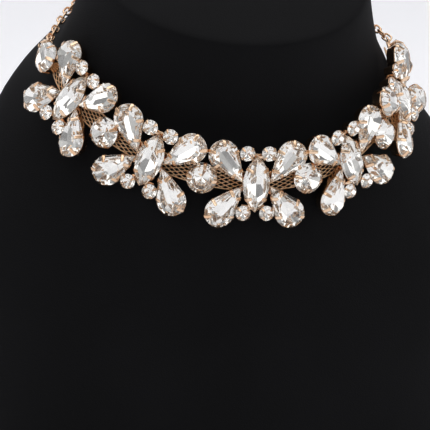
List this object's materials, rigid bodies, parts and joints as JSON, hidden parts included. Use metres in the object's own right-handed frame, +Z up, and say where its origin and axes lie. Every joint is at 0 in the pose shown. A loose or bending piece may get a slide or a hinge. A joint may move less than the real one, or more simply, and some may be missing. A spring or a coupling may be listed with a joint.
{
  "type": "bib necklace on a neck bust",
  "caption": "Bib necklace of faceted crystal clusters in prong settings on a woven metal ribbon, with a cable chain and clasp, on a plain velvet neck bust.",
  "frame": {"origin": "middle of the neck bust's flat underside, at the origin of its outline", "axes": "+Z up, -Y towards the front of the bust, +X towards the wearer's left hand side"},
  "size_m": [0.2326, 0.156, 0.2191],
  "materials": {
    "rose_gold": "polished rose gold plate",
    "woven_rose_gold": "woven rose gold plated wire",
    "crystal": "cut crystal with a foiled back",
    "black_velvet": "short black velvet pile"
  },
  "bodies": {
    "root": {"neck_bust": "black_velvet", "mesh_ribbon": "woven_rose_gold", "clasp": "rose_gold", "chain_left": "rose_gold", "chain_right": "rose_gold", "cluster_setting_far_left": "rose_gold", "cluster_setting_left": "rose_gold", "cluster_setting_center": "rose_gold", "cluster_setting_right": "rose_gold", "cluster_setting_far_right": "rose_gold", "marquise_stone_far_left": "crystal", "marquise_stone_left": "crystal", "marquise_stone_center": "crystal", "marquise_stone_right": "crystal", "marquise_stone_far_right": "crystal", "pear_stone_far_left_upper_left": "crystal", "pear_stone_far_left_upper_right": "crystal", "pear_stone_far_left_lower_left": "crystal", "pear_stone_far_left_lower_right": "crystal", "pear_stone_left_upper_left": "crystal", "pear_stone_left_upper_right": "crystal", "pear_stone_left_lower_left": "crystal", "pear_stone_left_lower_right": "crystal", "pear_stone_center_upper_left": "crystal", "pear_stone_center_upper_right": "crystal", "pear_stone_center_lower_left": "crystal", "pear_stone_center_lower_right": "crystal", "pear_stone_right_upper_left": "crystal", "pear_stone_right_upper_right": "crystal", "pear_stone_right_lower_left": "crystal", "pear_stone_right_lower_right": "crystal", "pear_stone_far_right_upper_left": "crystal", "pear_stone_far_right_upper_right": "crystal", "pear_stone_far_right_lower_left": "crystal", "pear_stone_far_right_lower_right": "crystal", "round_setting_far_left": "rose_gold", "round_stone_far_left": "crystal", "round_setting_left": "rose_gold", "round_stone_left": "crystal", "round_setting_right": "rose_gold", "round_stone_right": "crystal", "round_setting_far_right": "rose_gold", "round_stone_far_right": "crystal", "end_setting_left": "rose_gold", "end_stone_left": "crystal", "end_setting_right": "rose_gold", "end_stone_right": "crystal"}
  },
  "joints": []
}
